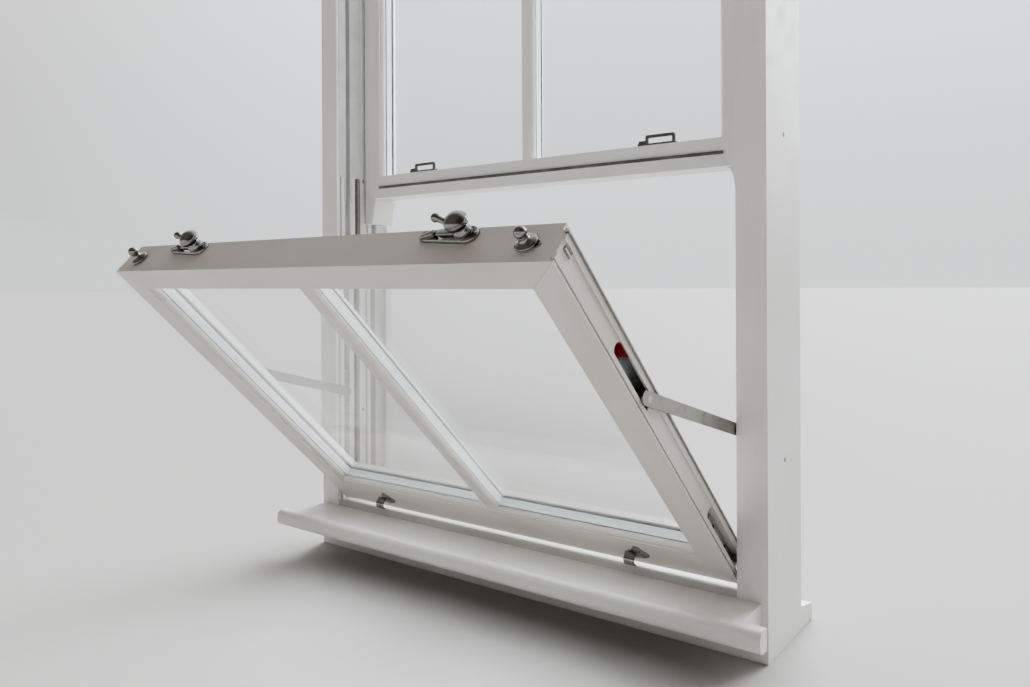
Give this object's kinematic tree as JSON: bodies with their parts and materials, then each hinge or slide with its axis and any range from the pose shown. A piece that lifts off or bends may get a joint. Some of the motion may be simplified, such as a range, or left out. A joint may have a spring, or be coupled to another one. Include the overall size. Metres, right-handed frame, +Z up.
{
  "type": "tilt-in sash window",
  "caption": "Vertical sliding sash window in its frame, with the lower sash tilted into the room on restrictor arms, horned upper sash, catches, tilt latches, lifts and window board.",
  "frame": {"origin": "middle of the frame's width and depth, at the underside of the outer sill", "axes": "+Z up, +Y towards the outdoors, +X to the right as seen from the room"},
  "size_m": [0.824, 0.5553, 1.2],
  "materials": {
    "arm_steel": "satin",
    "balance_steel": "satin",
    "board_white": "gloss",
    "brush": "pile",
    "cap_red": "matte",
    "chrome_fittings": "polished",
    "frame_foil": "satin",
    "gasket_rubber": "matte",
    "glazing": "clear",
    "latch_zinc": "satin",
    "pivot_zinc": "satin",
    "sash_foil": "satin",
    "shoe_plastic": "matte",
    "spacer_white": "matte"
  },
  "bodies": {
    "outer_frame": {"frame_head": "frame_foil", "frame_sill": "frame_foil", "left_jamb": "frame_foil", "right_jamb": "frame_foil", "outer_sill": "frame_foil", "inner_track_cover_left": "frame_foil", "inner_track_cover_right": "frame_foil", "window_board": "board_white", "frame_brush_seals": "brush", "lower_balance_tubes": "balance_steel", "upper_balance_tubes": "balance_steel"},
    "lower_lift": {"lower_balance_rods": "balance_steel"},
    "lower_shoes": {"pivot_shoe_left": "shoe_plastic", "pivot_shoe_right": "shoe_plastic", "arm_carrier_left": "shoe_plastic", "arm_carrier_right": "shoe_plastic"},
    "lower_sash": {"lower_sash_top_rail": "sash_foil", "lower_sash_bottom_rail": "sash_foil", "lower_sash_left_stile": "sash_foil", "lower_sash_right_stile": "sash_foil", "lower_sash_glazing_bars": "sash_foil", "lower_sash_panes": "glazing", "lower_sash_spacer": "spacer_white", "lower_sash_gaskets": "gasket_rubber", "lower_sash_edge_seals": "brush", "catch_base_left": "chrome_fittings", "catch_base_right": "chrome_fittings", "latch_plate_left": "chrome_fittings", "latch_plate_right": "chrome_fittings", "sash_lift_left": "chrome_fittings", "sash_lift_right": "chrome_fittings", "lower_pivot_bars": "pivot_zinc", "arm_tracks": "pivot_zinc", "arm_track_caps": "cap_red"},
    "catch_lever_left": {"catch_lever_left": "chrome_fittings"},
    "catch_lever_right": {"catch_lever_right": "chrome_fittings"},
    "tilt_latch_left": {"latch_bolt_left": "latch_zinc", "latch_knob_left": "chrome_fittings"},
    "tilt_latch_right": {"latch_bolt_right": "latch_zinc", "latch_knob_right": "chrome_fittings"},
    "restrictor_arm_left": {"restrictor_arm_left": "arm_steel"},
    "restrictor_arm_right": {"restrictor_arm_right": "arm_steel"},
    "upper_sash": {"upper_sash_top_rail": "sash_foil", "upper_sash_meeting_rail": "sash_foil", "upper_sash_left_stile": "sash_foil", "upper_sash_right_stile": "sash_foil", "upper_sash_glazing_bars": "sash_foil", "upper_sash_panes": "glazing", "upper_sash_spacer": "spacer_white", "upper_sash_gaskets": "gasket_rubber", "upper_sash_edge_seals": "brush", "meeting_rail_seal": "brush", "catch_keep_left": "chrome_fittings", "catch_keep_right": "chrome_fittings", "upper_pivot_bars": "pivot_zinc", "upper_balance_shoes": "shoe_plastic", "upper_balance_rods": "balance_steel"}
  },
  "joints": [
    {"name": "lower_sash_lift", "type": "slide", "parent": "outer_frame", "child": "lower_lift", "axis": [0, 0, 1], "range_m": [0, 0.43]},
    {"name": "shoe_drop", "type": "slide", "parent": "lower_lift", "child": "lower_shoes", "axis": [0, 0, -1], "range_m": [0, 0.0161]},
    {"name": "lower_sash_tilt", "type": "hinge", "parent": "lower_shoes", "child": "lower_sash", "pos_m": [0, -0.0366, 0.106], "axis": [-1, 0, 0], "range_deg": [0, 46.2]},
    {"name": "arm_pivot_left", "type": "hinge", "parent": "lower_shoes", "child": "restrictor_arm_left", "pos_m": [-0.352, -0.0366, 0.266], "axis": [-1, 0, 0], "range_deg": [0, 73.5]},
    {"name": "arm_pivot_right", "type": "hinge", "parent": "lower_shoes", "child": "restrictor_arm_right", "pos_m": [0.352, -0.0366, 0.266], "axis": [-1, 0, 0], "range_deg": [0, 73.5]},
    {"name": "catch_turn_left", "type": "hinge", "parent": "lower_sash", "child": "catch_lever_left", "pos_m": [-0.196, -0.42259, 0.49236], "axis": [0, 0.7221, -0.6917], "range_deg": [-90, 0]},
    {"name": "catch_turn_right", "type": "hinge", "parent": "lower_sash", "child": "catch_lever_right", "pos_m": [0.236, -0.42259, 0.49236], "axis": [0, 0.7221, -0.6917], "range_deg": [-90, 0]},
    {"name": "tilt_latch_throw_left", "type": "slide", "parent": "lower_sash", "child": "tilt_latch_left", "axis": [-1, 0, 0], "range_m": [0, 0.01]},
    {"name": "tilt_latch_throw_right", "type": "slide", "parent": "lower_sash", "child": "tilt_latch_right", "axis": [1, 0, 0], "range_m": [0, 0.01]},
    {"name": "upper_sash_slide", "type": "slide", "parent": "outer_frame", "child": "upper_sash", "axis": [0, 0, -1], "range_m": [0, 0.43]}
  ],
  "couplings": [
    {"joint": "shoe_drop", "follows": "lower_sash_tilt", "m_per_rad": 0.019829},
    {"joint": "arm_pivot_left", "follows": "lower_sash_tilt", "ratio": 1.5893},
    {"joint": "arm_pivot_right", "follows": "lower_sash_tilt", "ratio": 1.5893}
  ]
}
